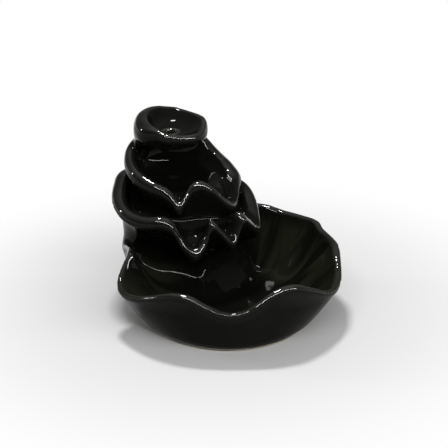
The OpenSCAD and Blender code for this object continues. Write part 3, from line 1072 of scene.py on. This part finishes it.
class StudioSetting(bpy.types.PropertyGroup):
    """Floor, room, lights and camera"""
    floor_tone: bpy.props.FloatVectorProperty(
        name="Floor", description="Colour of the floor", default=(0.85, 0.85, 0.85),
        subtype="COLOR")
    floor_white: bpy.props.FloatProperty(
        name="White near", description="Share of plain white in the floor near the object",
        default=0.0)
    floor_in_gloss: bpy.props.FloatProperty(
        name="White in gloss", description="Share of that white that shows in the glaze",
        default=1.0)
    floor_fade_start: bpy.props.FloatProperty(
        name="Fade start", description="Distance at which the floor starts to fade",
        default=0.065, unit="LENGTH")
    floor_fade_end: bpy.props.FloatProperty(
        name="Fade end", description="Distance at which the floor is plain white",
        default=0.17, unit="LENGTH")
    room_front: bpy.props.FloatVectorProperty(
        name="Room in front", description="Tone of the room on the camera's side",
        default=(0.04, 0.04, 0.04), subtype="COLOR")
    room_back: bpy.props.FloatVectorProperty(
        name="Room behind", description="Tone of the backdrop as the glaze sees it",
        default=(0.16, 0.16, 0.15), subtype="COLOR")
    room_dark_to: bpy.props.FloatProperty(
        name="Dark up to", description="Direction at which the room starts to turn pale",
        default=-0.5)
    room_pale_from: bpy.props.FloatProperty(
        name="Pale from", description="Direction from which the room is pale", default=0.6)
    room_top: bpy.props.FloatVectorProperty(
        name="Room overhead", description="Tone of the ceiling",
        default=(0.32, 0.32, 0.32), subtype="COLOR")
    room_top_from: bpy.props.FloatProperty(
        name="Ceiling from", description="Upward direction at which the ceiling begins",
        default=0.45)
    top_power: bpy.props.FloatProperty(
        name="Top light", description="Power of the small softbox straight above",
        default=2.8, unit="POWER")
    strip_power: bpy.props.FloatProperty(
        name="Strip light", description="Power of a metre of the bent strip in front",
        default=2.4, unit="POWER")
    strip_width: bpy.props.FloatProperty(
        name="Strip width", description="Width of the bent strip in front",
        default=0.028, unit="LENGTH")
    side_power: bpy.props.FloatProperty(
        name="Side light", description="Power of the small lamp at the left",
        default=0.35, unit="POWER")
    lens: bpy.props.FloatProperty(
        name="Lens", description="Focal length in millimetres", default=200.0)
    tilt: bpy.props.FloatProperty(
        name="Camera height", description="Angle of the camera above the horizon",
        default=math.radians(25.0), subtype="ANGLE")


# Lights and camera

# The lights face this point
TARGET = Vector((0.0, 0.0, 0.04))
# Pixels across the picture, pixels to a millimetre at the middle of the object, and the
# pixel at which the middle of the foot stands
PHOTO_PX = 448
PX_TO_A_MM = 2.08
FOOT_AT_PX = (229, 314.6)
SENSOR_MM = 36.0
FLOOR_HALF = 6.0

# Bends of the strip light as the burner sees them: degrees round to the right from the
# front, degrees above the horizon. It runs from high on the left to low on the right, all
# of it this far off.
STRIP = ((-34, 50), (-6, 44), (22, 38), (46, 30), (74, 9))
STRIP_FAR = 0.72


def softbox(name, place, size, power, along=(1, 0, 0)):
    """A lit panel that faces the target, its long side along the line given."""
    light = bpy.data.lights.new(name, "AREA")
    light.shape = "RECTANGLE"
    light.size, light.size_y = size
    light.energy = power
    obj = linked(name, light)
    obj.location = place
    out = (Vector(place) - TARGET).normalized()
    side = Vector(along)
    side = (side - out * side.dot(out)).normalized()
    turn = Matrix((side, out.cross(side), out)).transposed()
    obj.rotation_euler = turn.to_euler()


def strip_lights(width, power):
    """The bent strip in front, one panel from each bend to the next."""
    bends = []
    for degrees in STRIP:
        a, e = (math.radians(angle) for angle in degrees)
        way = Vector((math.sin(a) * math.cos(e), -math.cos(a) * math.cos(e), math.sin(e)))
        bends.append(TARGET + STRIP_FAR * way)
    for k, (p, q) in enumerate(zip(bends, bends[1:])):
        length = (q - p).length
        softbox("strip_%d" % k, (p + q) / 2, (length, width), power * length, q - p)


def studio_floor(setting):
    """A large flat floor under the burner."""
    r = FLOOR_HALF
    mesh = bpy.data.meshes.new("floor")
    mesh.from_pydata([(-r, -r, 0), (r, -r, 0), (r, r, 0), (-r, r, 0)], [], [(0, 1, 2, 3)])
    mesh.materials.append(floor_material(setting))
    return linked("floor", mesh)


def photo_camera(lens, tilt):
    """The camera at the photograph's angle and scale."""
    cam = bpy.data.cameras.new("camera")
    cam.lens = lens
    cam.sensor_width = SENSOR_MM
    cam.clip_start = 0.05
    obj = linked("camera", cam)
    distance = PHOTO_PX / PX_TO_A_MM * lens / SENSOR_MM * MM
    look = Vector((0, math.cos(tilt), -math.sin(tilt)))
    up = Vector((0, math.sin(tilt), math.cos(tilt)))
    right = Vector((1, 0, 0))
    foot = Vector(spot(DISH_C) * MM)
    x, y = (PHOTO_PX / 2 - pixel for pixel in FOOT_AT_PX)
    aim = foot + right * x / PX_TO_A_MM * MM - up * y / PX_TO_A_MM * MM
    obj.location = aim - look * distance
    obj.rotation_euler = look.to_track_quat("-Z", "Y").to_euler()
    return obj


# Operators

class BURNER_OT_body(bpy.types.Operator):
    """Build the glazed body from its curves and dress it"""
    bl_idname = "burner.body"
    bl_label = "Build body"

    def execute(self, context):
        form = context.scene.burner_form
        n = form.steps_round
        body = mesh_object("burner_glazed", [
            skin(finer(dish_rings(n), hard=(0, 1, 2, 3))),
            skin(finer(hill_rings(n))),
            skin(finer(cup_rings(n // 2))),
        ])
        joined = body.modifiers.new("Skin", "REMESH")
        joined.mode = "VOXEL"
        joined.voxel_size = form.grain
        cuts = [hollow_cut(), hole_cut()]
        for cut in cuts:
            away = body.modifiers.new(cut.name, "BOOLEAN")
            away.operation = "DIFFERENCE"
            away.solver = "MANIFOLD"
            away.object = cut
        # Faces of many corners along the cuts are split while still flat, slivers closed up
        corners = body.modifiers.new("Corners", "TRIANGULATE")
        corners.min_vertices = 5
        slivers = body.modifiers.new("Slivers", "WELD")
        slivers.merge_threshold = form.sliver
        apply_modifiers(body)
        for cut in cuts:
            drop(cut)
        soften(body.data, form.rounds, form.pooling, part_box("burner"))
        for poly in body.data.polygons:
            poly.use_smooth = True
        body.data.materials.clear()
        body.data.materials.append(glaze_material(context.scene.burner_glaze))
        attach(body, "root")
        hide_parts("burner")
        return {"FINISHED"}


class BURNER_OT_studio(bpy.types.Operator):
    """Set up the floor, the lights, the room and the camera"""
    bl_idname = "burner.studio"
    bl_label = "Set up studio"

    def execute(self, context):
        setting = context.scene.burner_studio
        floor = studio_floor(setting)
        context.scene.world = studio_world(setting)
        softbox("top", (-0.07, 0.12, 0.78), (0.12, 0.08), setting.top_power)
        softbox("side_left", (-0.59, 0.12, 0.27), (0.05, 0.10), setting.side_power, (0, 1, 0))
        strip_lights(setting.strip_width, setting.strip_power)
        context.scene.camera = photo_camera(setting.lens, setting.tilt)
        context.scene.view_settings.view_transform = "Standard"
        return {"FINISHED"}


class BURNER_PT_panel(bpy.types.Panel):
    """Buttons that build the burner and its studio"""
    bl_idname = "BURNER_PT_panel"
    bl_label = "Incense burner"
    bl_space_type = "VIEW_3D"
    bl_region_type = "UI"
    bl_category = "Burner"

    def draw(self, context):
        for title, group, operator in (
            ("Body", context.scene.burner_form, "burner.body"),
            ("Glaze", context.scene.burner_glaze, None),
            ("Studio", context.scene.burner_studio, "burner.studio"),
        ):
            box = self.layout.box()
            box.label(text=title)
            for key in group.__annotations__:
                box.prop(group, key)
            if operator:
                box.operator(operator)


CLASSES = (
    BurnerForm, GlazeLook, StudioSetting,
    BURNER_OT_body, BURNER_OT_studio, BURNER_PT_panel,
)


def register():
    """Adds the classes and the settings to Blender."""
    for cls in CLASSES:
        bpy.utils.register_class(cls)
    bpy.types.Scene.burner_form = bpy.props.PointerProperty(type=BurnerForm)
    bpy.types.Scene.burner_glaze = bpy.props.PointerProperty(type=GlazeLook)
    bpy.types.Scene.burner_studio = bpy.props.PointerProperty(type=StudioSetting)


def unregister():
    """Takes them out again."""
    del bpy.types.Scene.burner_studio
    del bpy.types.Scene.burner_glaze
    del bpy.types.Scene.burner_form
    for cls in reversed(CLASSES):
        bpy.utils.unregister_class(cls)


def main():
    """Builds the burner and its studio."""
    register()
    bpy.ops.burner.body()
    bpy.ops.burner.studio()


if __name__ == "__main__":
    main()
